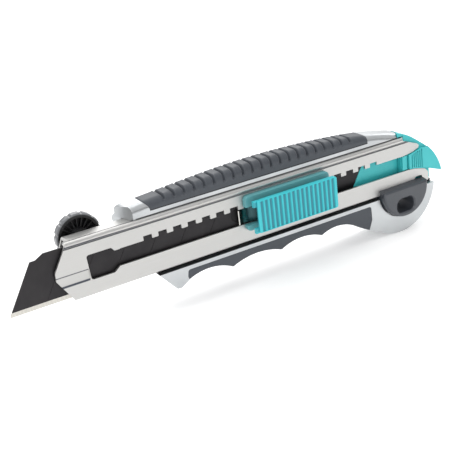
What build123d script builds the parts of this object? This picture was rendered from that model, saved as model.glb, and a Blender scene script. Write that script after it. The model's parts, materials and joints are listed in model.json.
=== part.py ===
from build123d import *
import math
import os

# Snap-off utility knife: an 18 mm blade in a folded steel channel, held in a cast handle.
# Working frame: X runs from the blade tip (-) to the end cap (+), Z is up to the spine and
# the slider faces -Y. y = 0 is the channel's slider-side face and z = 0 the middle of the
# blade's width. At the end everything moves so that the origin is the bottom centre.

# ---- blade ----
blade_width = 18.0
blade_thick = 0.5
blade_tip_x = -80.8          # cutting corner
blade_length = 92.0          # along the cutting edge
edge_slope = 0.598           # run of the slanted ends per mm of width
score_pitch = 11.64
score_depth = 0.12
bevel_height = 1.6
clip_height = 1.6            # of the clipped front corner
spare_length = 100.0
spare_count = 2
spare_rear_x = 53.6          # rear cutting-edge corner of the spare blades
peg_hole_radius = 2.4
peg_x = 4.6
peg_z = 0.8

# ---- steel channel ----
sheet = 0.8
channel_depth = 7.2          # over the two walls, along Y
nose_x = -63.9
channel_length = 155.4       # nose to the rear end of the lower lip
rear_x = nose_x + channel_length
blade_gap = 0.1              # blade edge to the channel floor
head_room = 0.65             # blade back to the channel roof
channel_corner = 0.9
bead_radius = 1.0
bead_proud = 0.35            # in front of the wall
bead_rise = 0.3              # above the roof
crease = 0.3                 # small groove on each side of the bead
slot_low = -2.83
slot_high = 3.2
notch_pitch = 5.616
notch_width = 3.2
notch_top = 4.74
notch_count = 18
first_notch_x = -32.41
window_x = -53.0             # front end of the blade-changing window
window_length = 9.9
groove_depth = 0.35
box_rear_x = rear_x - 11.5   # where the roof and the back wall stop
slot_rear_x = first_notch_x + notch_pitch * (notch_count - 1) + notch_width

# ---- casting ----
casting_front = -0.4         # face of the lower handle
spine_front = 0.9            # face of the spine
back_wall = 5.0              # behind the channel
casting_back = channel_depth + back_wall
spine_nose_x = -37.5         # at the back face
nose_sweep = 3.3             # how much shorter the nose is at the slider side
spine_rise = 7.4             # crown above the bead
spine_radius = 2.6
spine_back = 10.3            # back of the ridge, in front of the casting's back
tail_x = rear_x - 14.3       # end of the spine at the slider side
tail_sweep = 6.1             # how much longer the spine is at the back
hook_radius = 18.1
hook_x = rear_x - 15.5
casting_wall = 2.2
screw_xs = (nose_x + 41.9, nose_x + 83.9, rear_x - 25.5)
screw_radius = 1.5
screw_head = 3.0
ledge_gap = 1.0              # shadow gap under the front of the channel
ledge_depth = 2.0

# ---- grips ----
grip_rise = 1.6              # spine grip's lower edge above the roof
grip_front_x = -28.0
grip_rear_x = 63.4
grip_thick = 2.0
finger_drop = 2.4            # finger grip's upper edge below the channel floor
finger_front_x = -18.3
finger_rear_x = 62.2
toe_x = finger_front_x - 2.9  # blunt front end of the lower handle
toe_slope_x = -29.9          # where its front meets the channel floor
crest_xs = (-0.2, 20.5, 38.6)
crest_drop = 7.1
valley_rise = 2.1

# ---- rear eyelet ----
eyelet_radius = 10.85
eyelet_x = rear_x - 13.75
eyelet_rise = 0.65           # centre above the channel floor
eyelet_proud = 3.0
eyelet_cover = 2.5           # how far it climbs over the channel's edge
eyelet_recess = 0.5
hole_x = rear_x - 14.2
hole_length = 8.4
hole_height = 5.7
hole_drop = 5.4              # hole centre below the channel floor
notch_x = eyelet_x + 8.75    # small slot in the channel above the eyelet

# ---- slider ----
pad_front_x = 9.0
pad_length = 34.2
pad_low = -5.4
pad_high = 6.6
pad_face = -6.0
pad_wall = 0.8
pad_back = -4.2
pad_travel = 1.0
rib_pitch = 1.9
pad_groove = 0.65            # radius of the valleys between the ribs
flange_front_x = 6.5
flange_length = 36.2
flange_low = -5.2
flange_high = 7.9
flange_face = -2.0
flange_back = -0.15
carrier_thick = 0.6
carrier_half = 7.5
pawl_x = pad_front_x + pad_length / 2
spring_x = pawl_x + 6.5
spring_radius = 1.0

# ---- clamp ----
wheel_x = -50.9
wheel_z = 7.8
wheel_radius = 8.0
wheel_face = 9.0
wheel_lobes = 12
wheel_ribs = 20
hub_radius = 3.2
bush_radius = 2.2
pin_radius = 1.4
insert_radius = 3.0
clamp_gap = 0.05             # clamp plate to blade when clamped

# ---- cap and magazine ----
cap_slope_drop = 6.4         # tail corner below the slot's middle
cap_ribs = 6
cap_rib_pitch = 0.97
cap_rib_x = rear_x - 7.95
cap_face = -0.5              # in front of the channel's face
tray_front_x = -43.0
tray_face = 4.0               # behind the last spare blade
spare_face = 2.95
spare_gap = 0.05
block_front_x = rear_x - 12.8
tab_length = 2.5             # raised tab at the front of the plug

# ---- fits ----
seat = 0.05                  # fixed pieces side by side
run = 0.05                   # turning or sliding fit
clear = 0.25                 # moving pieces beside fixed ones

half_width = blade_width / 2
floor_z = -half_width - blade_gap - sheet
roof_z = half_width + head_room + sheet
inner_back = channel_depth - sheet
blade_face = sheet + 0.7
blade_back = blade_face + blade_thick
spine_z = roof_z + bead_rise
crown_z = spine_z + spine_rise
hook_z = floor_z + 0.95
eyelet_z = floor_z + eyelet_rise
slot_middle = (slot_low + slot_high) / 2
far = 400.0


def outline(*edges):
    """Flat XZ outline, drawn in X and Z, made into a face."""
    return make_face(edges if len(edges) > 1 else edges[0])


def plate(face, front, back):
    """Extrude a flat XZ outline from y = front to y = back."""
    return extrude(Plane.XZ.offset(-front) * face, amount=front - back)


def block(x0, x1, y0, y1, z0, z1):
    """Box between two corners."""
    middle = Pos((x0 + x1) / 2, (y0 + y1) / 2, (z0 + z1) / 2)
    return middle * Box(x1 - x0, y1 - y0, z1 - z0)


def rod(x, z, radius, front, back):
    """Cylinder along Y."""
    return plate(Pos(x, z) * Circle(radius), front, back)


def rounded(points, radius):
    """Polygon with rounded corners, as a face."""
    return outline(FilletPolyline(*points, radius=radius, close=True))


# ---------------------------------------------------------------- channel
def slot_face():
    """Changing window, slot and stop notches, with eased corners."""
    window_end = window_x + window_length
    low = slot_low - 1.67
    high = slot_high + 1.2
    corners = [(window_x + 0.5, low), (window_end - 1.0, low), (window_end + 1.1, slot_low),
               (window_end + 4, slot_low), (window_end + 4, slot_high - 0.15),
               (window_end, slot_high - 0.15), (window_end - 1.1, high), (window_x, high)]
    face = rounded(corners, [1.0, 0.5, 0.5, 0.3, 0.3, 0.5, 0.5, 0.9])
    last = slot_rear_x
    slot_start = window_end + 2
    face += Pos((slot_start + last) / 2, slot_middle) * Rectangle(last - slot_start, slot_high - slot_low)
    row = Pos((first_notch_x + last) / 2, (slot_middle + notch_top) / 2) * Rectangle(
        last - first_notch_x, notch_top - slot_middle)
    tab_width = notch_pitch - notch_width
    for index in range(1, notch_count):
        middle = first_notch_x + notch_pitch * index - tab_width / 2
        row -= Pos(middle, slot_high + 2) * RectangleRounded(tab_width, 4, 0.3)
    return face + row


def mouth_face():
    """Open rear of the slot, between the two lips."""
    start = slot_rear_x - 0.4
    r = rear_x
    corners = [(start, slot_high + 0.2), (r - 12.5, slot_high + 0.2), (r - 7.8, slot_high + 0.7),
               (r - 4.7, slot_high + 1.8), (r - 4.2, slot_high + 2.7), (r - 5.2, slot_high + 3.6),
               (r - 12.4, roof_z - 0.8), (r - 12.4, roof_z + 3), (r + 9, roof_z + 3),
               (r + 9, slot_low - 3.2), (r, slot_low - 3.2), (r - 1.6, slot_low - 1.5),
               (r - 6.6, slot_low - 0.3), (r - 10, slot_low), (start, slot_low)]
    radii = [0.01, 2, 3, 0.6, 0.45, 0.6, 0.3, 0.3, 0.3, 0.3, 0.9, 2, 3, 2, 0.01]
    return outline(FilletPolyline(*corners, radius=radii, close=True))


def nose_face():
    """Side outline of the channel: two slanted cuts that meet in a rounded nose."""
    return outline(FilletPolyline(
        (rear_x, floor_z - 2), (nose_x + 3.6, floor_z - 2), (nose_x + 4.9, floor_z),
        (nose_x - 0.3, slot_low + 1.4), (nose_x - 0.3, slot_low + 4.3), (nose_x + 4.4, half_width + 0.4),
        (nose_x + 5.1, roof_z + 2), (rear_x, roof_z + 2),
        radius=[0.1, 0.1, 0.1, 1.6, 2.0, 0.6, 0.1, 0.1], close=True))


def steel_channel():
    """Folded sheet: two walls, roof with a rolled bead, floor, slot and pressed details."""
    height = roof_z - floor_z
    section = Pos(channel_depth / 2, (roof_z + floor_z) / 2) * RectangleRounded(
        channel_depth, height, channel_corner)
    section += Pos(bead_radius - bead_proud, spine_z - bead_radius) * Circle(bead_radius)
    section -= Pos(2 * bead_radius - bead_proud + 0.1, roof_z) * Circle(crease)
    section -= Pos(0, spine_z - 2 * bead_radius - 0.1) * Circle(crease)
    section -= Pos(channel_depth / 2, (roof_z + floor_z) / 2) * RectangleRounded(
        channel_depth - 2 * sheet, height - 2 * sheet, channel_corner - 0.5)
    bar = extrude(Plane.YZ.offset(nose_x - 5) * section, amount=rear_x - nose_x + 5)
    body = bar & plate(nose_face(), -5, channel_depth + 5)
    back_cut = outline(Polyline((nose_x - 9, floor_z - 2), (nose_x + 6.7, floor_z - 2),
                                (nose_x + 1.6, slot_low + 2), (nose_x + 7.4, roof_z + 3),
                                (nose_x - 9, roof_z + 3), close=True))
    body -= plate(back_cut, sheet + 1.5, channel_depth + 5)
    body -= plate(slot_face(), -5, sheet + 0.5)
    body -= plate(mouth_face(), -5, sheet + 0.15)
    body -= block(box_rear_x, rear_x + 5, sheet, channel_depth + 5, floor_z + sheet, roof_z + 5)
    body -= block(box_rear_x + 0.5, rear_x + 5, -5, channel_depth + 5, half_width + 0.35, roof_z + 5)
    strip_low = slot_low - 1.5
    strip_high = slot_low + 2.4
    strip = Polyline((-1, strip_low - 0.3), (0, strip_low), (groove_depth, strip_low + 0.7),
                     (groove_depth, strip_high - 0.3), (0, strip_high), (-1, strip_high), close=True)
    body -= extrude(Plane.YZ.offset(nose_x - 5) * outline(strip), amount=window_x - nose_x + 5.2)
    for z in (-5.2, 4.2):
        body += rod(nose_x + 4.6, z, 1.5, blade_back + 0.08, inner_back + 0.2)
    body -= rod(wheel_x, wheel_z, bush_radius - 0.3, inner_back - 1, channel_depth + 1)
    for x in screw_xs:
        body -= rod(x, 0, screw_radius, inner_back - 1, channel_depth + 1)
    notch = Pos(notch_x, floor_z + eyelet_cover + 0.1) * SlotOverall(3.6, 1.6)
    body -= plate(notch, -1, sheet + 0.1)
    return body


# ---------------------------------------------------------------- casting and grips
def crown_points(drop):
    """Points of the spine's crown line, lowered by drop."""
    n = spine_nose_x
    z0 = spine_z - drop
    return [(n + 3.0, z0 + 4.6), (n + 15, z0 + 5.5), (n + 46, crown_z - drop), (rear_x - 42.9, z0 + 6.3),
            (rear_x - 20.9, z0 + 3.5), (rear_x - 9.2, z0 + 0.3)]


def spine_outline():
    """Side outline of the spine: blunt nose, long crown, falling tail."""
    n = spine_nose_x
    z0 = spine_z
    top = Spline(crown_points(0))
    nose = Spline([(n - 0.3, z0 - 1.5), (n, z0 + 2.2), (n + 3.0, z0 + 4.6)],
                  tangents=[(0, 1), (1, 0.25)])
    bottom = Polyline((rear_x - 9.2, z0 + 0.3), (rear_x - 9.2, roof_z + 0.15), (rear_x - 11.6, roof_z + 0.15),
                      (rear_x - 11.6, 0), (n + 3.2, 0), (n - 0.3, z0 - 1.5))
    return outline(nose, top, bottom)


def wave_edges():
    """Finger waves of the lower handle, from the front tip to the rear ring."""
    start = (finger_front_x + 0.6, floor_z - 6.0)
    crests = [(x, floor_z - crest_drop) for x in crest_xs]
    after = (crest_xs[-1] + 15.9, floor_z - 8.3)
    ends = [start] + crests + [after]
    edges = []
    for left, right in zip(ends, ends[1:]):
        middle_x = (left[0] + right[0]) / 2
        low = (left[1] + right[1]) / 2
        edges.append(ThreePointArc(left, (middle_x, low + valley_rise), right))
    ring = math.radians(243)
    landing = (hook_x + hook_radius * math.cos(ring), hook_z + hook_radius * math.sin(ring))
    leaving = edges[-1].tangent_at(1)
    edges.append(Spline([after, landing], tangents=[leaving, (-math.sin(ring), math.cos(ring))]))
    side = (hook_x + hook_radius * math.cos(-0.09), hook_z + hook_radius * math.sin(-0.09))
    under = (hook_x + hook_radius * math.cos(-0.8), hook_z + hook_radius * math.sin(-0.8))
    edges.append(ThreePointArc(landing, under, side))
    return edges, start, side


def handle_outline():
    """Side outline below the channel: pointed front, waves and round rear."""
    edges, start, side = wave_edges()
    tip = Polyline(start, (toe_x, floor_z - 8.1), (toe_x - 1.7, floor_z - 8.0), (toe_slope_x, floor_z + 0.4),
                   (toe_slope_x - 3.5, 0), (hook_x + hook_radius - 0.2, 0), side)
    face = outline(*edges, tip)
    corners = crest_xs + (toe_x, toe_x - 1.7)
    sharp = [v for v in face.vertices() if min(abs(v.X - x) for x in corners) < 0.1 and v.Y < 0]
    return fillet(sharp, 0.8)


def finger_region():
    """Side outline of the finger grip, down to below the waves."""
    return rounded([(finger_front_x, floor_z - 5.0), (finger_front_x + 0.4, floor_z - finger_drop),
                    (finger_rear_x, floor_z - finger_drop), (finger_rear_x + 0.2, floor_z - 8.0),
                    (finger_rear_x - 2.2, floor_z - 14), (finger_front_x + 3.4, floor_z - 14)], 1.0)


def spine_region():
    """Side outline of the spine grip, up to above the crown."""
    low = spine_z + grip_rise
    front = grip_front_x
    edge = Spline([(front, low), (front - 1.3, low + 2.6), (front - 5.2, low + 5.4)],
                  tangents=[(-0.1, 1), (-1, 0.45)])
    rest = Polyline((front - 5.2, low + 5.4), (front - 5.2, crown_z + 6), (grip_rear_x - 6, crown_z + 6),
                    (grip_rear_x - 6, low + 4.6))
    rear = Spline([(grip_rear_x - 6, low + 4.6), (grip_rear_x - 0.5, low + 2.6), (grip_rear_x - 0.3, low)],
                  tangents=[(1, -0.25), (-0.25, -1)])
    return outline(edge, rest, rear, Line((grip_rear_x - 0.3, low), (front, low)))


def shoulder_cut():
    """Room behind the ridge, above the sloped shoulder along the back."""
    profile = outline(Polyline((spine_back, spine_z + 1.0), (casting_back, spine_z - 0.6),
                               (casting_back + 5, spine_z - 0.6), (casting_back + 5, spine_z + 30),
                               (spine_back, spine_z + 30), close=True))
    return extrude(Plane.YZ.offset(-far) * profile, amount=2 * far)


def behind_tail(gap, low):
    """Room behind the spine's slanted end, set back by gap, above z = low."""
    lean = tail_sweep / (casting_back - spine_front)
    x = tail_x + gap
    plan = outline(Polyline((x - 10 * lean, spine_front - 10), (x + 30 * lean, spine_front + 30),
                            (far, spine_front + 30), (far, spine_front - 10), close=True))
    return Pos(0, 0, low) * extrude(plan, amount=60)


def outer_body():
    """Cast body with its grips still in one, and the channel's bed cut out."""
    spine = plate(spine_outline(), spine_front, casting_back) - shoulder_cut()
    rim = [e for e in spine.edges() if e.center().Z > spine_z + 2.2 and e.length > 9
           and abs(e.tangent_at(0.5).Y) < 0.5]
    spine = fillet(rim, spine_radius)
    nose_cut = outline(Polyline((spine_nose_x + nose_sweep, spine_front - 1),
                                (spine_nose_x - 0.5, casting_back + 1), (spine_nose_x - 9, casting_back + 1),
                                (spine_nose_x - 9, spine_front - 1), close=True))
    spine -= extrude(nose_cut, amount=far)
    handle = plate(handle_outline(), casting_front, casting_back)
    whole = spine + handle
    whole -= block(-far, far, -far, channel_depth + seat, floor_z - seat, roof_z + seat)
    whole -= block(-far, far, -far, 2 * bead_radius, floor_z, spine_z + seat)
    whole -= behind_tail(0, roof_z + 0.1)
    whole -= block(-far, far, -far, ledge_depth, floor_z - ledge_gap, floor_z)
    whole -= block(rear_x - 11.6, far, -far, far, floor_z + 1.9, far)
    return whole


def finger_grip(body):
    """Rubber insert with a keyway onto the casting's rib."""
    return (body & plate(finger_region(), -far, far)) - finger_key()


def finger_key():
    """Rib of the casting that keys the finger grip."""
    return block(finger_front_x + 8, finger_rear_x - 8, 4.8, 7.4,
                 floor_z - finger_drop - 1.2, floor_z - finger_drop + 0.2)


def spine_core():
    """Ridge of the casting inside the spine grip."""
    crown = Spline(crown_points(grip_thick))
    left = crown.position_at(0)
    right = crown.position_at(1)
    under = Polyline(right, (right.X, 0), (left.X, 0), left)
    return plate(outline(crown, under), spine_front + grip_thick, spine_back - grip_thick)


def spine_grip(body):
    """Rubber saddle over the spine's ridge."""
    return (body & plate(spine_region(), -far, far)) - spine_core()


def handle_casting(body, top_grip, low_grip):
    """Zinc casting: bed, back wall with bosses, ridge, lower handle and rear ring."""
    metal = body - top_grip - low_grip
    hollow = block(spine_nose_x + 10, rear_x - 16, channel_depth, casting_back - casting_wall,
                   floor_z + 1.6, spine_z - 2.0)
    for x in screw_xs:
        hollow -= rod(x, 0, 3.6, 0, casting_back)
    metal -= hollow
    for x in screw_xs:
        metal -= rod(x, 0, screw_radius + 0.02, 0, casting_back + 1)
        metal -= rod(x, 0, screw_head + 0.1, casting_back - 1.5, casting_back + 1)
    metal -= eyelet_blank(eyelet_radius + eyelet_recess, casting_front - 1, 2.0)
    metal -= eyelet_blank(eyelet_radius + seat, 0, casting_back + 1)
    return metal


# ---------------------------------------------------------------- eyelet
def eyelet_blank(radius, front, back):
    """Half round below the channel's edge."""
    top = floor_z + eyelet_cover
    disc = Pos(eyelet_x, eyelet_z) * Circle(radius)
    disc &= Pos(eyelet_x, top - radius) * Rectangle(2 * radius + 2, 2 * radius)
    return plate(disc, front, back)


def rear_eyelet():
    """Plastic insert: proud half-round face over the channel's edge, shank, hanging hole."""
    face = eyelet_blank(eyelet_radius, -eyelet_proud, -seat)
    top = floor_z + eyelet_cover
    slope = Polyline((-eyelet_proud - 1, top - 0.9), (0, top), (0, top + 1),
                     (-eyelet_proud - 1, top + 1), close=True)
    face -= extrude(Plane.YZ.offset(eyelet_x - eyelet_radius) * outline(slope), amount=2 * eyelet_radius)
    rim = [e for e in face.edges() if abs(e.center().Y + eyelet_proud) < 0.01]
    face = fillet(rim, 0.9)
    shank = eyelet_blank(eyelet_radius, -1, casting_back)
    shank -= block(-far, far, -far, channel_depth + seat, floor_z - seat, far)
    insert = face + shank
    hole = Pos(hole_x, floor_z - hole_drop) * RectangleRounded(hole_length, hole_height, 2.4)
    insert -= plate(hole, -far, far)
    rim = [e for e in insert.edges() if e.center().Y < -eyelet_proud + 0.01
           and abs(e.center().X - hole_x) < hole_length / 2 + 0.1
           and abs(e.center().Z - floor_z + hole_drop) < hole_height / 2 + 0.1]
    return chamfer(rim, 0.5)


# ---------------------------------------------------------------- blades and slider
def blade_blank(rear, length, front):
    """Slanted strip with a ground edge, scored segments and a clipped front corner."""
    tip = rear - length
    low = -half_width
    clip = tip + edge_slope * (blade_width - clip_height)
    face = outline(Polyline((tip, low), (rear, low), (rear + edge_slope * blade_width, half_width),
                            (clip + 4.7, half_width), (clip + 1.8, half_width - clip_height),
                            (clip, half_width - clip_height), close=True))
    strip = plate(face, front, front + blade_thick)
    for side, lean in ((front, 1), (front + blade_thick, -1)):
        wedge = Polyline((side - 0.01 * lean, low - 0.1), (side + lean * blade_thick * 0.48, low - 0.1),
                         (side - 0.01 * lean, low + bevel_height), close=True)
        strip -= extrude(Plane.YZ.offset(tip - 5) * outline(wedge), amount=length + 40)
    count = int((length - 14) / score_pitch)
    for index in range(1, count + 1):
        x = tip + score_pitch * index
        score = outline(Polyline((x, low), (x + 0.25, low), (x + 0.25 + edge_slope * blade_width, half_width),
                                 (x + edge_slope * blade_width, half_width), close=True))
        strip -= plate(score, front - 1, front + score_depth)
    return strip


def blade():
    """Working blade with the peg hole."""
    rear = blade_tip_x + blade_length
    strip = blade_blank(rear, blade_length, blade_face)
    return strip - rod(peg_x, peg_z, peg_hole_radius, 0, channel_depth)


def spare_blades():
    """Full-length spare blades, side by side."""
    stack = []
    for index in range(spare_count):
        front = spare_face + index * (blade_thick + spare_gap)
        strip = blade_blank(spare_rear_x, spare_length, front)
        stack.append(strip - rod(spare_rear_x - 7, peg_z, peg_hole_radius, 0, channel_depth))
    return Compound(children=stack)


def rivet_xs():
    """Rivets at the two ends of the slot block."""
    return (pad_front_x + 12.3, pad_front_x + pad_length - 6.0)


def blade_carrier():
    """Steel strip behind the blade with the driving peg."""
    back = blade_back + carrier_thick + seat
    front_x = peg_x - 3.2
    rear = flange_front_x + flange_length - 0.3
    face = rounded([(front_x, -carrier_half + 2), (front_x + 2, -carrier_half), (rear, -carrier_half),
                    (rear, carrier_half), (front_x + 2, carrier_half), (front_x, carrier_half - 2)], 0.8)
    strip = plate(face, blade_back + seat, back)
    strip += rod(peg_x, peg_z, peg_hole_radius - 0.1, blade_face + 0.05, back)
    strip -= block(pawl_x - 2.4, pawl_x + 2.4, 0, back + 1, slot_low + 0.05, slot_high + 0.2)
    for x in rivet_xs():
        strip -= rod(x, slot_middle, 0.9, 0, back + 1)
    return strip


def carrier_rivets():
    """Two headed rivets through the slot block and the carrier."""
    back = blade_back + carrier_thick + seat
    rivets = []
    for x in rivet_xs():
        head = rod(x, slot_middle, 1.5, flange_face - 0.5, flange_face)
        shank = rod(x, slot_middle, 0.9, flange_face, back)
        rivets.append(head + shank)
    return Compound(children=rivets)


def slider_base():
    """Flange on the channel, block in the slot and the head that the pad snaps over."""
    rear = flange_front_x + flange_length
    face = rounded([(flange_front_x, flange_low), (rear, flange_low), (rear, flange_high),
                    (flange_front_x, flange_high)], 1.6)
    body = plate(face, flange_face, flange_back)
    rim = [e for e in body.edges() if abs(e.center().Y - flange_face) < 0.01]
    body = fillet(rim, 0.35)
    body += block(pad_front_x + 5, rear - 1.5, flange_back - 0.1, blade_face - 0.1,
                  slot_low + 0.2, slot_high - 0.2)
    tower = block(pad_front_x + 6, rear - 3, flange_face - 1.6, flange_back,
                  slot_middle - 2.6, slot_middle + 2.6)
    tower += block(pad_front_x + 6, rear - 3, flange_face - 2.15, flange_face - 1.55,
                   slot_middle - 3.6, slot_middle + 3.6)
    body += tower
    body -= block(flange_front_x - 1, pad_front_x + 5.2, -far, far, slot_low, slot_high + 0.7)
    body -= block(pawl_x - 2.0, pawl_x + 2.0, -far, far, slot_low + 0.15, slot_high - 0.15)
    for x in rivet_xs():
        body += rod(x, slot_middle, 1.5, blade_face - 0.2, blade_back + seat)
        body -= rod(x, slot_middle, 1.6, -far, flange_face)
        body -= rod(x, slot_middle, 0.9, -far, far)
    return body - rod(spring_x, slot_middle, spring_radius + 0.3, -far, flange_face + 0.4)


def lock_spring():
    """Spring steel tongue: dished in the slot, then rising under the pad."""
    thick = 0.4
    path = Spline([(peg_x + 0.1, 0.0), (peg_x + 1.1, 0.6), (peg_x + 3.6, 0.75), (peg_x + 5.8, 0.1),
                   (peg_x + 7.4, -1.0), (pad_front_x + 4.9, -1.9)], tangents=[(1, 1.4), (1, -0.2)])
    lower = [path.position_at(t) for t in (0, 0.25, 0.5, 0.75, 1)]
    normals = []
    for t in (0, 0.25, 0.5, 0.75, 1):
        tangent = path.tangent_at(t)
        normals.append(Vector(-tangent.Y, tangent.X) * thick)
    upper = [p + n for p, n in zip(lower, normals)]
    face = outline(Spline(lower), Line(lower[-1], upper[-1]), Spline(upper), Line(upper[0], lower[0]))
    return extrude(Plane.XY.offset(slot_low + 0.2) * face, amount=slot_high - slot_low - 0.6)


def lock_pawl():
    """Stop tooth in the slot on a stem down from the pad."""
    stem = block(pawl_x - 1.0, pawl_x + 1.0, pad_face + pad_wall, 0.1, slot_middle - 1.3, slot_middle + 1.3)
    tooth = block(pawl_x - 1.4, pawl_x + 1.4, 0.05, sheet - 0.05, slot_low + 0.4, slot_high - 0.25)
    return stem + tooth


def slider_pad():
    """Ribbed thumb pad: face, top and bottom walls, hooked left end and snap legs."""
    rear = pad_front_x + pad_length
    face = rounded([(pad_front_x, pad_low), (rear, pad_low), (rear, pad_high), (pad_front_x, pad_high)], 0.8)
    body = plate(face, pad_face, pad_back)
    rim = [e for e in body.edges() if abs(e.center().Y - pad_face) < 0.01]
    body = fillet(rim, 0.35)
    body -= block(pad_front_x - 1, rear - pad_wall, pad_face + pad_wall, pad_back + 1,
                  pad_low + pad_wall, pad_high - pad_wall)
    for z0, z1 in ((pad_low, pad_low + 1.9), (pad_high - 2.2, pad_high)):
        body += block(pad_front_x - 1.2, pad_front_x + 1.3, pad_face + 0.7, pad_back, z0, z1)
    count = int((pad_length - 1.2) / rib_pitch)
    for index in range(count):
        x = pad_front_x + (pad_length - rib_pitch * (count - 1)) / 2 + rib_pitch * index
        groove = Pos(x, pad_face - 0.1) * Circle(pad_groove)
        body -= extrude(Plane.XY.offset(pad_low + 0.3) * groove, amount=pad_high - pad_low - 0.6)
    head = flange_face - 1.55
    for side in (-1, 1):
        for x in (pad_front_x + 8, pad_front_x + pad_length - 10):
            outer = slot_middle + side * 4.5
            inner = slot_middle + side * 3.8
            lip = slot_middle + side * 3.0
            leg = block(x, x + 4, pad_face + 0.7, head + 0.45, min(outer, inner), max(outer, inner))
            leg += block(x, x + 4, head + 0.03, head + 0.45, min(lip, inner), max(lip, inner))
            body += leg
    body -= block(pawl_x - 1.0, pawl_x + 1.0, pad_face + pad_wall, 0, slot_middle - 1.3, slot_middle + 1.3)
    return body


def pad_spring():
    """Coil spring in the base's pocket, drawn at its pressed length."""
    wire = 0.2
    low = flange_face + 0.4
    high = pad_face + pad_wall + pad_travel + seat
    height = low - high - 2 * wire
    coil = Helix(pitch=height / 3, height=height, radius=spring_radius)
    section = Plane(coil.position_at(0), z_dir=coil.tangent_at(0)) * Circle(wire)
    turned = sweep(section, path=coil, is_frenet=True)
    return Pos(spring_x, low - wire, slot_middle) * Rot(90, 0, 0) * turned


# ---------------------------------------------------------------- clamp
def clamp_bush():
    """Riveted bush, with a clip groove, that the wheel turns on."""
    bush = rod(wheel_x, wheel_z, bush_radius - 0.3, inner_back, channel_depth)
    bush += rod(wheel_x, wheel_z, bush_radius, channel_depth, wheel_face + 1.4)
    bush += rod(wheel_x, wheel_z, bush_radius + 0.9, channel_depth, channel_depth + 0.3)
    bush -= rod(wheel_x, wheel_z, far, wheel_face + 0.75, wheel_face + 1.2) & (
        rod(wheel_x, wheel_z, bush_radius, 0, 20) - rod(wheel_x, wheel_z, bush_radius - 0.35, 0, 20))
    return bush - rod(wheel_x, wheel_z, pin_radius + run, 0, 20)


def wheel_clip():
    """Open spring clip in the bush's groove."""
    ring = rod(wheel_x, wheel_z, bush_radius + 0.55, wheel_face + 0.78, wheel_face + 1.17)
    ring -= rod(wheel_x, wheel_z, bush_radius - 0.33, 0, 20)
    return ring - block(wheel_x - 0.9, wheel_x + 0.9, 0, 20, wheel_z - 5, wheel_z - 1)


def clamp_wheel():
    """Moulded thumb wheel: lobed rim, ribbed hollow towards the channel, hub and web."""
    back = casting_back - 0.2
    body = rod(wheel_x, wheel_z, wheel_radius, wheel_face, back)
    rim = [e for e in body.edges() if e.length > 20]
    body = chamfer(rim, 0.35)
    for index in range(wheel_lobes):
        angle = 2 * math.pi * (index + 0.5) / wheel_lobes
        gap = Pos(wheel_x + (wheel_radius + 0.25) * math.cos(angle),
                  wheel_z + (wheel_radius + 0.25) * math.sin(angle)) * Circle(0.75)
        body -= plate(gap, wheel_face - 1, back + 1)
    hollow = rod(wheel_x, wheel_z, wheel_radius - 1.5, wheel_face - 1, wheel_face + 1.9)
    hollow -= rod(wheel_x, wheel_z, hub_radius, wheel_face - 1, back)
    for index in range(wheel_ribs):
        angle = 360 * index / wheel_ribs
        rib = Pos(wheel_x, 0, wheel_z) * Rot(0, angle, 0) * block(
            hub_radius - 0.3, wheel_radius - 1.2, wheel_face + 0.35, wheel_face + 2, -0.16, 0.16)
        hollow -= rib
    body -= hollow
    body += rod(wheel_x, wheel_z, hub_radius, channel_depth + 0.35, wheel_face + 0.2)
    body -= rod(wheel_x, wheel_z, bush_radius + run, 0, wheel_face + 0.7)
    body -= rod(wheel_x, wheel_z, insert_radius, wheel_face + 0.7, back + 1)
    dish = rod(wheel_x, wheel_z, wheel_radius - 2.2, back - 0.5, back + 1)
    return body - dish


def wheel_insert():
    """Threaded brass insert pressed into the wheel."""
    ring = rod(wheel_x, wheel_z, insert_radius, wheel_face + 1.5, casting_back - 0.5)
    return ring - rod(wheel_x, wheel_z, pin_radius, 0, 20)


def clamp_pin():
    """Threaded pin, driven along Y by the wheel."""
    return rod(wheel_x, wheel_z, pin_radius, blade_back + clamp_gap + 0.9, casting_back - 1.3)


def clamp_plate():
    """Pressure plate that spreads the pin's force over the blade."""
    front = blade_back + clamp_gap
    face = rounded([(wheel_x - 4.5, -6.5), (wheel_x + 2.5, -6.5), (wheel_x + 2.5, half_width + 0.4),
                    (wheel_x - 4.5, half_width + 0.4)], 1.2)
    return plate(face, front, front + 0.9)


# ---------------------------------------------------------------- cap and magazine
def tail_face():
    """Side outline of the end cap: long fin, rounded tail and slanted lower edge."""
    r = rear_x
    top = Spline([(r - 15.3, spine_z + 2.1), (r - 8, spine_z - 0.4), (r - 3.5, spine_z - 3.5),
                  (r + 1.0, spine_z - 7.1), (r + 3.7, spine_z - 10.4), (r + 6.7, -cap_slope_drop)])
    under = Polyline((r + 6.7, -cap_slope_drop), (r + 5.9, -cap_slope_drop - 0.3), (r + 0.3, slot_low - 1.8),
                     (r - 7.8, slot_low + 0.2), (r - 11.4, slot_low + 0.2), (r - 11.4, spine_z + 0.2),
                     (r - 15.3, spine_z + 0.2), (r - 15.3, spine_z + 2.1))
    return outline(top, under)


def panel_face():
    """Grip panel between the lips of the channel."""
    r = rear_x
    return rounded([(r - 9.7, slot_low + 0.35), (r - 7.2, slot_low + 0.12), (r + 1.2, slot_low - 1.75),
                    (r + 3.5, slot_low - 1.2), (r + 2.5, slot_high + 0.4), (r - 3.6, slot_high + 1.5),
                    (r - 9.7, slot_high + 0.05)], 0.4)


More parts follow.
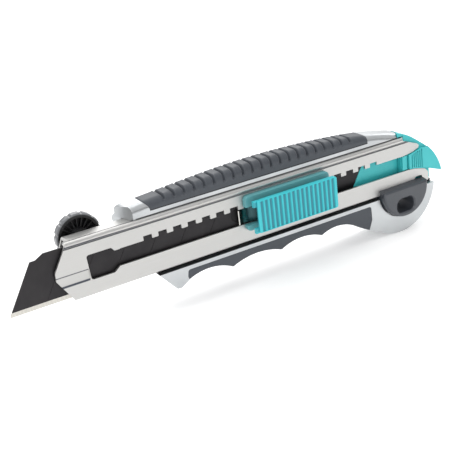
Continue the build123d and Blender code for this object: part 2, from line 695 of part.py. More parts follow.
def end_cap():
    """Moulded cap: fin over the channel, side panel with ribs, tail and plug."""
    whole = plate(tail_face(), cap_face, casting_back)
    rim = [e for e in whole.edges() if e.center().X > rear_x - 12 and e.length > 12
           and e.center().Z > -2 and abs(e.tangent_at(0.5).Y) < 0.5]
    whole = fillet(rim, 0.6)
    whole -= block(-far, rear_x - 11.2, -far, far, -far, spine_z + clear)
    whole -= block(-far, rear_x - 11.2, -far, spine_front + 0.3, -far, far)
    whole -= block(-far, far, -far, far, roof_z - 0.15, far) - behind_tail(clear, roof_z - 0.15)
    whole -= shoulder_cut()
    lip_keep = plate(mouth_face(), -5, sheet + clear)
    shaved = whole - block(-far, rear_x + 0.3, -far, sheet + clear, -far, far)
    front = (whole & block(-far, rear_x + 0.3, -far, sheet + clear, -far, far)) & lip_keep
    front &= plate(offset(panel_face(), amount=0.01), -5, sheet + clear)
    body = shaved + front
    low = floor_z + sheet + 0.15
    plug = plate(rounded([(block_front_x, low), (rear_x + 1.3, low), (rear_x + 1.3, slot_low - 1),
                          (rear_x - 1.5, slot_high - 1), (rear_x - 8, half_width - 0.3),
                          (rear_x - 9.5, half_width + 0.2), (block_front_x, half_width + 0.2)], 0.3),
                 sheet + clear, inner_back - 0.15)
    plug -= block(block_front_x + tab_length, block_front_x + tab_length + 0.55, -far, sheet + 2.6, -far, far)
    plug += block(block_front_x + 0.3, block_front_x + tab_length, 0.2, sheet + clear + 0.1,
                  slot_low + 0.4, slot_high - 0.1)
    plug -= block(notch_x - 2.6, notch_x + 2.6, -far, sheet + 2.6, -far, floor_z + eyelet_cover + 1.6)
    body += plug
    for index in range(cap_ribs):
        x = cap_rib_x + cap_rib_pitch * index
        gap = block(x - cap_rib_pitch / 2, x - 0.05, -far, 0.15, -far, far)
        body -= gap & plate(offset(panel_face(), amount=-0.35), -5, 1)
    return body


def magazine_tray():
    """Tray behind the spare blades, hollow for the leaf spring."""
    tray = block(tray_front_x, block_front_x, tray_face + 0.15, inner_back - 0.2,
                 floor_z + sheet + 0.2, half_width + 0.2)
    tray -= block(tray_front_x + 14, spare_rear_x - 6, 0, tray_face + 1.7, -5.5, 5.5)
    stop_low = spare_rear_x + clear
    stop_high = stop_low + edge_slope * blade_width
    stop = outline(Polyline((stop_low, floor_z + sheet + 0.2), (block_front_x, floor_z + sheet + 0.2),
                            (block_front_x, half_width + 0.2), (stop_high, half_width + 0.2), close=True))
    return tray + plate(stop, spare_face, tray_face + 1)


def magazine_spring():
    """Bowed leaf that presses the spare blades forward."""
    left = tray_front_x + 15
    right = spare_rear_x - 7
    near = tray_face + 0.2
    deep = tray_face + 1.3
    front = ThreePointArc((left, deep), ((left + right) / 2, near), (right, deep))
    back = ThreePointArc((left, deep + 0.3), ((left + right) / 2, near + 0.3), (right, deep + 0.3))
    face = outline(front, Line((right, deep), (right, deep + 0.3)), back,
                   Line((left, deep + 0.3), (left, deep)))
    return extrude(Plane.XY.offset(-4.5) * face, amount=9)


def channel_screws():
    """Countersunk screws from the back of the handle into the channel."""
    screws = []
    for x in screw_xs:
        screw = rod(x, 0, screw_radius, inner_back, casting_back - 1.4)
        screw += rod(x, 0, screw_head, casting_back - 1.5, casting_back - 0.2)
        recess = Pos(x, 0) * RegularPolygon(1.3, 6)
        screw -= plate(recess, casting_back - 1.1, casting_back + 1)
        screws.append(screw)
    return Compound(children=screws)


def main():
    body = outer_body()
    low_grip = finger_grip(body)
    top_grip = spine_grip(body)
    nodes = {
        "steel_channel": steel_channel(),
        "handle_casting": handle_casting(body, top_grip, low_grip),
        "spine_grip": top_grip,
        "finger_grip": low_grip,
        "rear_eyelet": rear_eyelet(),
        "channel_screws": channel_screws(),
        "blade": blade(),
        "blade_carrier": blade_carrier(),
        "carrier_rivets": carrier_rivets(),
        "slider_base": slider_base(),
        "lock_spring": lock_spring(),
        "slider_pad": slider_pad(),
        "lock_pawl": lock_pawl(),
        "pad_spring": pad_spring(),
        "clamp_bush": clamp_bush(),
        "wheel_clip": wheel_clip(),
        "clamp_wheel": clamp_wheel(),
        "wheel_insert": wheel_insert(),
        "clamp_pin": clamp_pin(),
        "clamp_plate": clamp_plate(),
        "end_cap": end_cap(),
        "magazine_tray": magazine_tray(),
        "magazine_spring": magazine_spring(),
        "spare_blades": spare_blades(),
    }
    boxes = [shape.bounding_box() for shape in nodes.values()]
    low = Vector(min(b.min.X for b in boxes), min(b.min.Y for b in boxes), min(b.min.Z for b in boxes))
    high_x = max(b.max.X for b in boxes)
    high_y = max(b.max.Y for b in boxes)
    shift = Pos(-(low.X + high_x) / 2, -(low.Y + high_y) / 2, -low.Z)
    os.makedirs("parts", exist_ok=True)
    for name, shape in nodes.items():
        export_step(shift * shape, f"parts/{name}.step")


main()
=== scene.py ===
import bmesh
import bpy
import json
import math
from mathutils import Matrix, Vector
from mathutils.bvhtree import BVHTree


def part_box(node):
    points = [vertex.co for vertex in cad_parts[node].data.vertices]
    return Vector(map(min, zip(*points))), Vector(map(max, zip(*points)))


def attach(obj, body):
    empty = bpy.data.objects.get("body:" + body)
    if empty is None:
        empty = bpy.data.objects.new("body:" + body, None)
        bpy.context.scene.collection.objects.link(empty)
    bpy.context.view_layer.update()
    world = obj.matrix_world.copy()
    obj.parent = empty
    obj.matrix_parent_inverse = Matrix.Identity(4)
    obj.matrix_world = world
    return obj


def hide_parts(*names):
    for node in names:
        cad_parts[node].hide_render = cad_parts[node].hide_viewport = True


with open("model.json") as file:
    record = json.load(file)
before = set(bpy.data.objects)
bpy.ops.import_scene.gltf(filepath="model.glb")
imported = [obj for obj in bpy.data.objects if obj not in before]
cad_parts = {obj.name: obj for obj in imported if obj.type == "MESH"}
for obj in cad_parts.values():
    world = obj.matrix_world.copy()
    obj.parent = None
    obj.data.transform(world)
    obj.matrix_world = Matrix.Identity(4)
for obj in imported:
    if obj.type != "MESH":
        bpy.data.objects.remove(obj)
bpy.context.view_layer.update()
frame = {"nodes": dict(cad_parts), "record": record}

# ---------------------------------------------------------------- studio
# A long-lens camera stands in front of the slider side, above the blade's tip and
# slightly rolled. A pale room and four soft boxes light the knife: over the spine, in
# front of the slider, behind the cap and behind the spine.
mm = 0.001
camera_right = Vector((0.85688881, -0.50272252, -0.11406858))
camera_up = Vector((0.28206125, 0.27201694, 0.92002622))
camera_back = camera_right.cross(camera_up)
camera_place = Vector((-147.13, -263.70, 145.48)) * mm
lens = bpy.data.cameras.new("camera")
lens.sensor_width = 36
lens.lens = 72.87
lens.clip_start = 0.01
camera = bpy.data.objects.new("camera", lens)
camera_turn = Matrix((camera_right, camera_up, camera_back)).transposed().to_4x4()
camera.matrix_world = Matrix.Translation(camera_place) @ camera_turn
bpy.context.collection.objects.link(camera)
bpy.context.scene.camera = camera
bpy.context.scene.view_settings.view_transform = "Standard"

room = bpy.data.worlds.new("room")
room.use_nodes = True
walls = room.node_tree.nodes["Background"]
walls.inputs["Color"].default_value = (1.0, 1.0, 1.0, 1)
walls.inputs["Strength"].default_value = 0.76
bpy.context.scene.world = room

knife_middle = Vector((0, 0, 20 * mm))


def soft_box(name, spot, width, height, power):
    """Area light at spot, facing the middle of the knife; metres and watts."""
    light = bpy.data.lights.new(name, "AREA")
    light.shape = "RECTANGLE"
    light.size, light.size_y = width, height
    light.energy = power
    lamp = bpy.data.objects.new(name, light)
    lamp.location = spot
    lamp.rotation_euler = (knife_middle - Vector(spot)).to_track_quat("-Z", "Y").to_euler()
    bpy.context.collection.objects.link(lamp)


soft_box("box_over_spine", spot=(-0.15, 0.1, 0.8), width=0.9, height=0.5, power=3.2)
soft_box("box_in_front", spot=(-0.5, -0.8, 0.5), width=0.5, height=0.4, power=1.1)
soft_box("box_behind_cap", spot=(0.7, 0.25, 0.4), width=0.3, height=0.4, power=0.8)
soft_box("box_behind_spine", spot=(0.30, 0.75, 0.46), width=0.9, height=0.4, power=2.4)

# ---------------------------------------------------------------- white floor card
# A wide sheet of matt white card lies under the knife. It gives off a little light of
# its own, as paper lit from below does, so that it stays white up to the knife's edge.


class Value:
    """A socket of a material; arithmetic on it adds Math nodes."""

    def __init__(self, finish, socket):
        self.finish = finish
        self.socket = socket

    def math(self, operation, first, second):
        return self.finish.node("Math", {"operation": operation}, {0: first, 1: second})

    def __add__(self, other):
        return self.math("ADD", self, other)

    def __sub__(self, other):
        return self.math("SUBTRACT", self, other)

    def __mul__(self, other):
        return self.math("MULTIPLY", self, other)

    def __rsub__(self, other):
        return self.math("SUBTRACT", other, self)

    def __gt__(self, other):
        return self.math("GREATER_THAN", self, other)

    __radd__ = __add__
    __rmul__ = __mul__


class Finish:
    """One material: constants go to its shader, and what varies is fed to it."""

    def __init__(self, name, constants):
        self.material = bpy.data.materials.new(name)
        self.material.use_nodes = True
        self.tree = self.material.node_tree
        self.shader = self.tree.nodes["Principled BSDF"]
        self.feed(constants)

    def feed(self, sockets, target=None):
        """Set or link sockets of the shader, or of another node."""
        for name, value in sockets.items():
            socket = (target or self.shader).inputs[name]
            if isinstance(value, Value):
                self.tree.links.new(value.socket, socket)
            else:
                socket.default_value = value

    def node(self, kind, settings, sockets, output=0):
        """Any node, by its type, its settings and its sockets' values or links."""
        made = self.tree.nodes.new("ShaderNode" + kind)
        for name, value in settings.items():
            if name == "stops":
                ramp = made.color_ramp
                while len(ramp.elements) < len(value):
                    ramp.elements.new(0.5)
                for element, (position, colour) in zip(ramp.elements, value):
                    element.position = position
                    element.color = colour
            else:
                setattr(made, name, value)
        self.feed(sockets, made)
        return Value(self, made.outputs[output])

    def coordinate(self, axis):
        """X, Y or Z of the place on the piece, in metres."""
        spot = self.node("TexCoord", {}, {}, "Object")
        return self.node("SeparateXYZ", {}, {0: spot}, axis)

    def noise(self, per_metre, detail=2.0):
        """Cloudy value from 0 to 1, with so many clouds per metre along each axis."""
        spot = self.node("TexCoord", {}, {}, "Object")
        scaled = self.node("VectorMath", {"operation": "MULTIPLY"}, {0: spot, 1: per_metre})
        return self.node("TexNoise", {}, {"Vector": scaled, "Scale": 1.0, "Detail": detail})

    def spread(self, value, low, high):
        """Value from low..high opened out to 0..1, smoothly, with its ends held."""
        smooth = {"interpolation_type": "SMOOTHSTEP"}
        return self.node("MapRange", smooth, {0: value, 1: low, 2: high})

    def band(self, value, low, high, soft):
        """1 between low and high, falling to 0 over the soft width outside."""
        return self.spread(value, low - soft, low) * (1 - self.spread(value, high, high + soft))

    def mix(self, mask, first, second):
        """The first colour, turning to the second where the mask is 1."""
        return self.node("Mix", {"data_type": "RGBA"}, {0: mask, 6: first, 7: second}, 2)

    def relief(self, height, depth):
        """Feed a height from 0 to 1 as relief of the given depth in metres."""
        bump = {"Height": height, "Distance": depth, "Strength": 1.0}
        self.feed({"Normal": self.node("Bump", {}, bump)})


def flat_card(name, finish, half_length, half_depth):
    """Flat rectangle of card, lying down."""
    work = bmesh.new()
    bmesh.ops.create_grid(work, x_segments=1, y_segments=1, size=1.0)
    bmesh.ops.scale(work, vec=(half_length, half_depth, 1.0), verts=work.verts)
    data = bpy.data.meshes.new(name)
    work.to_mesh(data)
    work.free()
    data.materials.append(finish.material)
    laid = bpy.data.objects.new(name, data)
    bpy.context.collection.objects.link(laid)
    return laid


card = Finish("white_card", {"Base Color": (0.93, 0.93, 0.93, 1), "Specular IOR Level": 0.0,
                             "Emission Color": (1.0, 1.0, 1.0, 1), "Emission Strength": 0.24})
card.feed({"Roughness": 0.9 + 0.08 * card.noise((60, 60, 60))})
floor = flat_card("floor", card, half_length=4.0, half_depth=4.0)

# ---------------------------------------------------------------- black card
# A long black card stands upright far in front, as in a studio for metalware. Only
# the knife's shiny surfaces see it: the bends of the sheet pick it up as thin lines.
velvet = Finish("black_card", {"Base Color": (0.008, 0.009, 0.012, 1), "Specular IOR Level": 0.0})
velvet.feed({"Roughness": 0.9 + 0.1 * velvet.noise((20, 20, 20))})
flag = flat_card("black_card", velvet, half_length=1.4, half_depth=0.14)
flag.rotation_euler = (math.pi / 2, 0, 0)
flag.location = (0.0, -0.9, 0.16)
flag.visible_camera = False
flag.visible_shadow = False
flag.visible_diffuse = False

# ---------------------------------------------------------------- steel channel
# One folded sheet of stainless steel, brushed lengthwise, with a rolled bead along its
# top, stamped notches and a pressed strip at the nose. Thin dark lines are painted in
# the folds, which are in shade, and the tumbled cut edges catch the light.
source_body = {}
for body, members in frame["record"]["behaviour"]["bodies"].items():
    for member in members:
        source_body[member] = body

same_point = 0.002 * mm
same_plane = math.radians(0.6)


def softened(node, finish, radius, steps=2, sharp_from=28):
    """Copy of a CAD node in the given finish, its edges rounded where they are sharp."""
    source = frame["nodes"][node]
    work = bmesh.new()
    work.from_mesh(source.data)
    bmesh.ops.remove_doubles(work, verts=work.verts, dist=same_point)
    bmesh.ops.dissolve_limit(work, angle_limit=same_plane, verts=work.verts, edges=work.edges)
    for face in work.faces:
        face.smooth = True
    mesh = bpy.data.meshes.new(node + "_edged")
    work.to_mesh(mesh)
    work.free()
    piece = bpy.data.objects.new(node + "_edged", mesh)
    bpy.context.collection.objects.link(piece)
    mesh.materials.append(finish.material)
    edge = piece.modifiers.new("edge_radius", "BEVEL")
    edge.width = radius
    edge.segments = steps
    edge.limit_method = "ANGLE"
    edge.angle_limit = math.radians(sharp_from)
    flat = piece.modifiers.new("flat_faces", "WEIGHTED_NORMAL")
    flat.keep_sharp = True
    flat.weight = 100
    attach(piece, source_body[node])
    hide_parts(node)
    return piece


sheet_low, sheet_high = (Vector(corner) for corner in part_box("steel_channel"))
bead_low = sheet_high.z - 2.25 * mm
bead_back_y = sheet_low.y + 2.05 * mm
roof_z = sheet_high.z - 0.9 * mm
wall_y = sheet_low.y + 0.6 * mm          # just behind the slider-side face
window_x = sheet_low.x + 11.2 * mm
strip_z = sheet_low.z + 6.4 * mm
widest_until = sheet_low.x + 12 * mm     # the line under the bead is wider at the nose
narrow_from = sheet_low.x + 42 * mm
widening = 0.4 * mm
bead_line_depth = 0.92
strip_line_depth = 0.85
edge_fade = 0.1 * mm

sheet = Finish("brushed_sheet", {"Metallic": 1.0})
strokes = sheet.noise((45, 2600, 3400), 3)
clouds = sheet.noise((70, 70, 120), 2)
along, across, up = (sheet.coordinate(axis) for axis in "XYZ")
front_face = 1 - sheet.spread(across, wall_y, wall_y + edge_fade)
nose_share = 1 - sheet.spread(along, widest_until, narrow_from)
at_nose = 1 - sheet.spread(along, window_x, window_x + edge_fade)
below_top = 1 - sheet.spread(up - widening * nose_share, bead_low + 0.35 * mm, bead_low + 0.7 * mm)
under_bead = sheet.spread(up, bead_low - 0.25 * mm, bead_low) * below_top
on_roof = sheet.spread(up, roof_z, roof_z + edge_fade)
behind_bead = on_roof * sheet.band(across, low=bead_back_y, high=bead_back_y + 0.25 * mm, soft=0.2 * mm)
strip_top = sheet.band(up, low=strip_z + 2.95 * mm, high=strip_z + 3.25 * mm, soft=0.15 * mm)
strip_foot = sheet.band(up, low=strip_z - 0.75 * mm, high=strip_z - 0.2 * mm, soft=0.2 * mm)
strip_lines = front_face * at_nose * (strip_line_depth * strip_top + strip_foot)
fold = bead_line_depth * front_face * under_bead + behind_bead + strip_lines
brushed = sheet.mix(0.55 * strokes + 0.45 * clouds, (0.52, 0.516, 0.503, 1), (0.66, 0.655, 0.642, 1))
sheet.feed({
    "Base Color": sheet.mix(fold, brushed, (0.085, 0.092, 0.112, 1)),
    "Roughness": 0.36 + 0.12 * strokes + 0.10 * clouds,
})
sheet.relief(strokes, depth=0.004 * mm)
softened("steel_channel", sheet, radius=0.1 * mm)

# ---------------------------------------------------------------- cast handle
# Zinc die casting with a satin chrome plate: a fine pebbled skin, rounded arrises and a
# smoother surface where hands rub it. On the slider side the shaded gaps, along the ledge
# under the channel and the seam over it, are painted dark.
seam_front_x = sheet_low.x + 30 * mm
slider_side_y = sheet_low.y + 3.0 * mm
seam_line_depth = 0.85

casting = Finish("satin_casting", {"Metallic": 0.92})
pebble = casting.noise((2600, 2600, 2600), 2)
rubbed = casting.spread(casting.noise((55, 55, 55), 3), low=0.35, high=0.7)
along, across, up = (casting.coordinate(axis) for axis in "XYZ")
slider_side = 1 - casting.spread(across, slider_side_y, slider_side_y + 0.4 * mm)
behind_nose = casting.spread(along, seam_front_x, seam_front_x + 1 * mm)
ledge = casting.band(up, low=sheet_low.z - 0.95 * mm, high=sheet_low.z + 0.5 * mm, soft=0.1 * mm)
seam = casting.band(up, low=sheet_high.z - 0.5 * mm, high=sheet_high.z + 0.3 * mm, soft=0.2 * mm)
gap = slider_side * (ledge + seam_line_depth * seam * behind_nose)
satin = casting.mix(rubbed, (0.50, 0.518, 0.53, 1), (0.56, 0.577, 0.586, 1))
casting.feed({
    "Base Color": casting.mix(gap, satin, (0.03, 0.03, 0.035, 1)),
    "Roughness": 0.36 - 0.08 * rubbed + 0.05 * pebble,
})
casting.relief(pebble, depth=0.006 * mm)
softened("handle_casting", casting, radius=0.45 * mm, steps=3, sharp_from=35)

# ---------------------------------------------------------------- spine grip
# Soft rubber saddle moulded over the casting's ridge, with a fine spark-eroded grain.
# Half-round grooves run over the crown and end on each side in a rounded tip with a
# slightly raised rim. The foot, in the shade of the casting, is painted dark.
groove_count = 21
groove_pitch = 3.89 * mm
groove_depth = 0.95 * mm
groove_half = 0.34 * mm
groove_tip_rise = 2.8 * mm
rim_height = 0.10 * mm
shoulder = 2.6 * mm
wall = 1.6 * mm
foot_line_depth = 0.85

grip_low, grip_high = (Vector(corner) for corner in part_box("spine_grip"))
grip_length = grip_high.x - grip_low.x
grip_middle_y = (grip_low.y + grip_high.y) / 2
low_edge = grip_low.z
front_foot = grip_high.x - 91.1 * mm
first_groove = front_foot + 5.5 * mm
front_zone = front_foot + 3.4 * mm       # in front of here the end leans forward
front_lean = 0.07                        # per mm of height
front_bow = 0.165                        # per square mm of height
rear_zone = grip_high.x - 5.2 * mm       # behind here the end sweeps in
rear_sweep = 5.7 * mm
rear_sweep_rise = 4.6                    # height in mm where the sweep is done
rear_sweep_power = 5.87

even_rows = 90
groove_rows = (0, 0.12, 0.24, 0.36, 0.48, 0.62, 0.8, 1.0, 1.3)    # mm from a groove's middle
closest_rows = 0.06 * mm
side_steps = 20
turn_steps = 9
top_steps = 5

rubber = Finish("dark_rubber", {"Specular IOR Level": 0.5})
grain = rubber.noise((5200, 5200, 5200), 2)
bloom = rubber.noise((90, 90, 140), 3)
foot = rubber.band(rubber.coordinate("Z"), low=low_edge - 0.5 * mm, high=low_edge + 0.25 * mm, soft=0.25 * mm)
skin_tone = rubber.mix(bloom, (0.045, 0.051, 0.062, 1), (0.062, 0.070, 0.083, 1))
rubber.feed({
    "Base Color": rubber.mix(foot_line_depth * foot, skin_tone, (0.006, 0.006, 0.008, 1)),
    "Roughness": 0.38 + 0.12 * grain + 0.08 * bloom,
})
rubber.relief(grain, depth=0.012 * mm)

grip_tree = BVHTree.FromObject(frame["nodes"]["spine_grip"], bpy.context.evaluated_depsgraph_get())


def crown_at(x):
    """Height of the grip's crown."""
    inside = min(max(x, grip_low.x + 0.3 * mm), grip_high.x - 1.4 * mm)
    well_above = 1.0
    hit = grip_tree.ray_cast(Vector((inside, grip_middle_y, well_above)), Vector((0, 0, -1)))
    return hit[0].z


def along_grip():
    """Places along the grip from 0 to 1, closer together at the grooves."""
    places = {index / even_rows for index in range(even_rows + 1)}
    for groove in range(groove_count):
        middle = (first_groove + groove * groove_pitch - grip_low.x) / grip_length
        for row in groove_rows:
            places.add(middle - row * mm / grip_length)
            places.add(middle + row * mm / grip_length)
    kept = []
    for spot in sorted(places):
        if not kept or spot - kept[-1] > closest_rows / grip_length:
            kept.append(spot)
    return kept


def half_section():
    """Steps of the side, the shoulder's turn in radians, and half of the top."""
    points = [("side", index / side_steps) for index in range(side_steps)]
    points += [("turn", index / turn_steps * math.pi / 2) for index in range(turn_steps + 1)]
    points += [("top", index / top_steps) for index in range(1, top_steps + 1)]
    return points


def skin_height(x, kind, share):
    """Height of a step of the section, at a place along the grip."""
    crown = crown_at(x)
    turn_z = crown - shoulder
    if kind == "side":
        return low_edge + share * (turn_z - low_edge)
    if kind == "turn":
        return turn_z + shoulder * math.sin(share)
    return crown


def end_shaped(flat_x, z):
    """Place along the grip once its two ends have their outlines."""
    rise = (z - low_edge) / mm
    if flat_x < front_zone:
        front_x = front_foot - (front_lean * rise + front_bow * rise ** 2) * mm
        share = (front_zone - flat_x) / (front_zone - grip_low.x)
        return front_zone - share * (front_zone - front_x)
    if flat_x > rear_zone:
        rear_x = grip_high.x - rear_sweep * min(1.0, rise / rear_sweep_rise) ** rear_sweep_power
        share = (flat_x - rear_zone) / (grip_high.x - rear_zone)
        return rear_zone + share * (rear_x - rear_zone)
    return flat_x


def groove_relief(x, above_tips):
    """How far the skin stands out, near one of the grooves."""
    nearest = min(max(round((x - first_groove) / groove_pitch), 0), groove_count - 1)
    beside = x - first_groove - nearest * groove_pitch
    distance = math.hypot(beside, max(0.0, -above_tips))
    dip = 1 / (1 + (distance / groove_half) ** 4)
    rim = math.exp(-((distance - 2.4 * groove_half) / (0.8 * groove_half)) ** 2)
    return rim_height * rim - groove_depth * dip


def skin_point(flat_x, kind, share, side):
    """Point of the grooved skin; the ends' outline and the crown settle each other."""
    x = flat_x
    for _ in range(3):
        z = skin_height(x, kind, share)
        x = end_shaped(flat_x, z)
    if kind == "side":
        inward, facing = 0.0, (-1.0, 0.0)
    elif kind == "turn":
        inward, facing = shoulder * (1 - math.cos(share)), (-math.cos(share), math.sin(share))
    else:
        inward, facing = shoulder + share * (grip_middle_y - grip_low.y - shoulder), (0.0, 1.0)
    stand = groove_relief(x, z - low_edge - groove_tip_rise)
    y = grip_low.y + inward + facing[0] * stand
    if side < 0:
        y = 2 * grip_middle_y - y
    return x, y, z + facing[1] * stand


half = half_section()
section = [(kind, share, 1) for kind, share in half]
section += [(kind, share, -1) for kind, share in reversed(half[:-1])]
saddle = bmesh.new()
rows = []
for share_x in along_grip():
    flat_x = grip_low.x + share_x * grip_length
    rows.append([saddle.verts.new(skin_point(flat_x, *step)) for step in section])
for row, next_row in zip(rows, rows[1:]):
    for low, high, far_high, far_low in zip(row, row[1:], next_row[1:], next_row):
        saddle.faces.new((low, far_low, far_high, high)).smooth = True
saddle_mesh = bpy.data.meshes.new("spine_saddle")
saddle.to_mesh(saddle_mesh)
saddle.free()
spine = bpy.data.objects.new("spine_saddle", saddle_mesh)
bpy.context.collection.objects.link(spine)
spine.data.materials.append(rubber.material)
thick = spine.modifiers.new("wall", "SOLIDIFY")
thick.thickness = wall
thick.offset = -1
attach(spine, "handle")
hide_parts("spine_grip")

# ---------------------------------------------------------------- finger grip
# The same rubber, moulded into the lower handle as a flat insert with three finger
# waves, its edge well rounded where fingers curl over it.
softened("finger_grip", rubber, radius=0.6 * mm, steps=4, sharp_from=25)

# ---------------------------------------------------------------- rear insert
# Glossy injection-moulded half round that carries the hanging hole, pushed into the
# casting's rear ring, with polished flats and a soft rim.
insert = Finish("grey_plastic", {"Specular IOR Level": 0.5, "Coat Roughness": 0.12})
flow = insert.noise((120, 120, 120), 3)
insert.feed({
    "Base Color": insert.mix(flow, (0.040, 0.045, 0.055, 1), (0.052, 0.058, 0.070, 1)),
    "Roughness": 0.26 + 0.10 * flow,
    "Coat Weight": 0.25 + 0.15 * flow,
})
insert.relief(insert.noise((1800, 1800, 1800), 2), depth=0.003 * mm)
softened("rear_eyelet", insert, radius=0.35 * mm, steps=3, sharp_from=30)

# ---------------------------------------------------------------- blades
# Carbon steel strip, blackened all over, with scored segments. The cutting edge is ground
# afterwards, so the bevel is bare and bright with fine grinding marks across it.
bevel_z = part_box("blade")[0][2] + 1.62 * mm

black = Finish("black_blade", {"Metallic": 0.75})
bare = (bevel_z - black.coordinate("Z")) > 0.0
grind = black.noise((5200, 300, 500), 3)
oxide = black.noise((220, 220, 160), 4)
blackened = black.mix(oxide, (0.022, 0.021, 0.023, 1), (0.048, 0.045, 0.047, 1))
ground = black.mix(grind, (0.46, 0.44, 0.40, 1), (0.72, 0.70, 0.65, 1))
black.feed({
    "Base Color": black.mix(bare, blackened, ground),
    "Roughness": 0.42 + 0.12 * oxide - 0.12 * bare,
})
black.relief(grind * bare + 0.3 * oxide, depth=0.004 * mm)
for node in ("blade", "spare_blades"):
    softened(node, black, radius=0.03 * mm, steps=1, sharp_from=40)

# ---------------------------------------------------------------- slider pad
# The thumb pad is bright teal plastic from a polished tool: the ribs' tops shine and the
# shaded valleys between them are painted darker. It snaps over the flange below it.
pad_low, pad_high = (Vector(corner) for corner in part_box("slider_pad"))
valley_y = pad_low.y + 0.42 * mm
pad_border = 0.5 * mm

teal = Finish("teal_plastic", {"Specular IOR Level": 0.5})
swirl = teal.noise((160, 160, 160), 3)
skin = teal.noise((3000, 3000, 3000), 2)
valley_floor = teal.band(teal.coordinate("Y"), low=valley_y, high=valley_y + 0.18 * mm, soft=0.22 * mm)
between_rims = teal.band(teal.coordinate("Z"), low=pad_low.z + pad_border, high=pad_high.z - pad_border,
                         soft=0.2 * mm)
ridge = teal.mix(swirl, (0.034, 0.50, 0.56, 1), (0.044, 0.56, 0.62, 1))
teal.feed({
    "Base Color": teal.mix(valley_floor * between_rims, ridge, (0.030, 0.25, 0.32, 1)),
    "Roughness": 0.26 + 0.08 * swirl + 0.05 * skin,
})
teal.relief(skin, depth=0.003 * mm)
softened("slider_pad", teal, radius=0.12 * mm, steps=2, sharp_from=30)

# ---------------------------------------------------------------- slider base
# Flange and block under the pad, moulded in teal from an unpolished tool, and riveted through the slot to the
# blade carrier. Its teal is painted greyer and darker than the pad's, as shade under the pad.
teal_painted_shade = Finish("teal_base_painted_shade", {"Specular IOR Level": 0.5})
swirl = teal_painted_shade.noise((160, 160, 160), 3)
# Painted shade: the flange's darker, greyer teal.
teal_painted_shade.feed({
    "Base Color": teal_painted_shade.mix(swirl, (0.090, 0.31, 0.34, 1), (0.120, 0.37, 0.39, 1)),
    "Roughness": 0.36 + 0.10 * swirl,
})
softened("slider_base", teal_painted_shade, radius=0.2 * mm, steps=2, sharp_from=30)

# ---------------------------------------------------------------- small springs
# The stop tooth, the wheel's clip, the magazine's leaf and the pad's coil are bright
# spring steel, cold-rolled or drawn, with fine lengthwise marks.
spring_steel = Finish("spring_steel", {"Metallic": 1.0})
roll = spring_steel.noise((60, 60, 1800), 3)
spring_steel.feed({
    "Base Color": spring_steel.mix(roll, (0.50, 0.50, 0.48, 1), (0.62, 0.62, 0.60, 1)),
    "Roughness": 0.16 + 0.08 * roll,
})
for node in ("lock_pawl", "wheel_clip", "magazine_spring"):
    softened(node, spring_steel, radius=0.05 * mm, steps=2, sharp_from=40)
coil = frame["nodes"]["pad_spring"]
coil.material_slots[0].material = spring_steel.material

# ---------------------------------------------------------------- lock spring
# Bent tongue of polished spring steel in front of the pad. Reflections are painted along its length, as its
# bends would mirror what is near: the light, the dark slot, and the teal pad over it.
tongue_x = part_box("lock_spring")[0][0]
painted_reflection_length = 8 * mm
painted_reflection_stops = [
    (0.0, (0.80, 0.79, 0.75, 1)), (0.08, (0.62, 0.61, 0.57, 1)), (0.12, (0.10, 0.095, 0.09, 1)),
    (0.25, (0.16, 0.15, 0.14, 1)), (0.31, (0.52, 0.60, 0.56, 1)), (0.40, (0.30, 0.40, 0.39, 1)),
    (0.50, (0.07, 0.14, 0.15, 1)), (1.0, (0.010, 0.022, 0.026, 1))]

painted_reflection_finish = Finish("spring_painted_reflections", {"Metallic": 1.0})
temper = painted_reflection_finish.noise((500, 500, 60), 2)
# Painted highlight and reflections: a ramp from the free end towards the pad, bright, then dark, then teal.
reach = painted_reflection_finish.node("MapRange", {}, {0: painted_reflection_finish.coordinate("X"), 1: tongue_x, 2: tongue_x + painted_reflection_length})
painted_reflection = painted_reflection_finish.node("ValToRGB", {"stops": painted_reflection_stops}, {0: reach})
painted_reflection_finish.feed({
    "Base Color": painted_reflection_finish.mix(0.25 * temper, painted_reflection, (0.02, 0.03, 0.03, 1)),
    "Roughness": 0.18 + 0.08 * temper,
})
softened("lock_spring", painted_reflection_finish, radius=0.06 * mm, steps=3, sharp_from=40)

# ---------------------------------------------------------------- carrier and bush
# The strip behind the blade that drives it, and the bush that the clamp wheel turns on: steel, nearly black
# and almost without shine. On the carrier the black is painted shade, standing in for the dark slot around
# the tongue; the bush is oiled and blackened in a bath.
dark_steel = Finish("dark_steel", {"Metallic": 0.6})
smoke = dark_steel.noise((300, 300, 300), 3)
dark_steel.feed({
    "Base Color": dark_steel.mix(smoke, (0.012, 0.012, 0.013, 1), (0.028, 0.027, 0.028, 1)),
    "Roughness": 0.45 + 0.15 * smoke,
})
# Painted shade: the carrier's near-black stands in for the shade in the slot around the tongue.
softened("blade_carrier", dark_steel, radius=0.05 * mm, steps=2, sharp_from=40)
softened("clamp_bush", dark_steel, radius=0.05 * mm, steps=2, sharp_from=40)

# ---------------------------------------------------------------- clamp wheel
# Black glass-filled plastic with a lobed rim and a ribbed hollow. A grey highlight is painted all round the
# rim, where the lobes' outer faces catch the light.
wheel_low, wheel_high = (Vector(corner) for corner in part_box("clamp_wheel"))
highlight_inner = 7.21 * mm
highlight_outer = 7.68 * mm

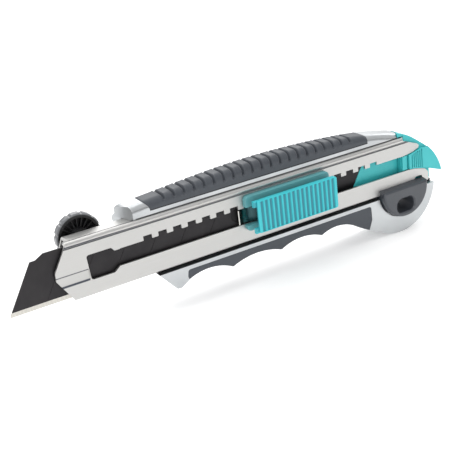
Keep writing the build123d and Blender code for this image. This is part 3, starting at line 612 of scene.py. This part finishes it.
black_plastic = Finish("black_plastic", {"Specular IOR Level": 0.45})
fibre = black_plastic.noise((1500, 1500, 1500), 3)
scuff = black_plastic.spread(black_plastic.noise((420, 420, 420), 4), low=0.5, high=0.72)
beside = black_plastic.coordinate("X") - (wheel_low.x + wheel_high.x) / 2
above = black_plastic.coordinate("Z") - (wheel_low.z + wheel_high.z) / 2
# Painted highlight: the rim's outer ring is lighter grey and glossier.
painted_rim_highlight = black_plastic.spread(beside * beside + above * above, highlight_inner ** 2, highlight_outer ** 2)
moulded = black_plastic.mix(scuff, (0.008, 0.008, 0.009, 1), (0.026, 0.026, 0.028, 1))
black_plastic.feed({
    "Base Color": black_plastic.mix(painted_rim_highlight, moulded, (0.17, 0.175, 0.185, 1)),
    "Roughness": 0.32 + 0.14 * fibre + 0.12 * scuff - 0.14 * painted_rim_highlight,
})
black_plastic.relief(fibre, depth=0.008 * mm)
softened("clamp_wheel", black_plastic, radius=0.1 * mm, steps=2, sharp_from=30)

# ---------------------------------------------------------------- wheel insert
# Threaded bush of turned brass, pressed into the wheel, with fine rings from the lathe
# on its face.
brass = Finish("brass", {"Metallic": 1.0})
turned = brass.noise((900, 3800, 900), 2)
brass.feed({
    "Base Color": brass.mix(turned, (0.62, 0.44, 0.19, 1), (0.80, 0.62, 0.31, 1)),
    "Roughness": 0.24 + 0.14 * turned,
})
softened("wheel_insert", brass, radius=0.08 * mm, steps=2, sharp_from=40)

# ---------------------------------------------------------------- plated steel
# The clamp's pin and pressure plate, the screws that hold the channel to the casting and
# the carrier's rivets: steel with a dull, faintly clouded zinc plate.
zinc = Finish("zinc_plate", {"Metallic": 1.0})
spangle = zinc.noise((700, 700, 700), 3)
zinc.feed({
    "Base Color": zinc.mix(spangle, (0.46, 0.48, 0.50, 1), (0.62, 0.63, 0.64, 1)),
    "Roughness": 0.26 + 0.16 * spangle,
})
for node in ("clamp_pin", "clamp_plate", "channel_screws", "carrier_rivets"):
    softened(node, zinc, radius=0.08 * mm, steps=2, sharp_from=40)

# ---------------------------------------------------------------- end cap and magazine
# The cap and the tray of the spare blades, in the teal of the pad but satin. The cap's
# side panel is ribbed for pulling and its tail is smooth.
cap_teal = Finish("cap_teal", {"Specular IOR Level": 0.45})
swirl = cap_teal.noise((140, 140, 140), 3)
skin = cap_teal.noise((2400, 2400, 2400), 2)
cap_teal.feed({
    "Base Color": cap_teal.mix(swirl, (0.042, 0.47, 0.49, 1), (0.056, 0.53, 0.55, 1)),
    "Roughness": 0.34 + 0.10 * swirl + 0.06 * skin,
})
cap_teal.relief(skin, depth=0.004 * mm)
softened("end_cap", cap_teal, radius=0.15 * mm, steps=2, sharp_from=30)
softened("magazine_tray", cap_teal, radius=0.2 * mm, steps=2, sharp_from=30)
